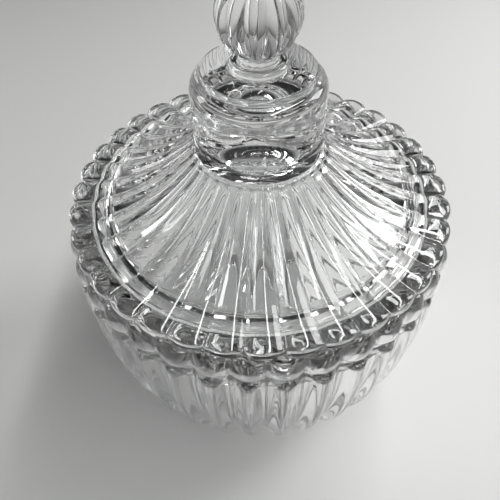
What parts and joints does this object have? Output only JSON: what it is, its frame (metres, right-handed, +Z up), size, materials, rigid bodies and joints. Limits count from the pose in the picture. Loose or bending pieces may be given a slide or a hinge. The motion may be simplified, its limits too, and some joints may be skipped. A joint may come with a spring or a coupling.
{
  "type": "covered crystal jar",
  "caption": "Round ribbed glass jar with a lift-off ribbed lid that rises to a plain collar and a fluted ball finial.",
  "frame": {"origin": "centre of the foot, on the surface that the jar stands on", "axes": "+Z up through the bowl, lid and finial; -Y towards the front"},
  "size_m": [0.1564, 0.1564, 0.1963],
  "materials": {
    "bowl_crystal": "polished",
    "lid_crystal": "polished"
  },
  "bodies": {
    "bowl": {"bowl": "bowl_crystal"},
    "lid": {"lid": "lid_crystal"}
  },
  "joints": [
    {"name": "lid_lift", "type": "slide", "parent": "bowl", "child": "lid", "axis": [0, 0, 1], "range_m": [0, 0.12]}
  ]
}
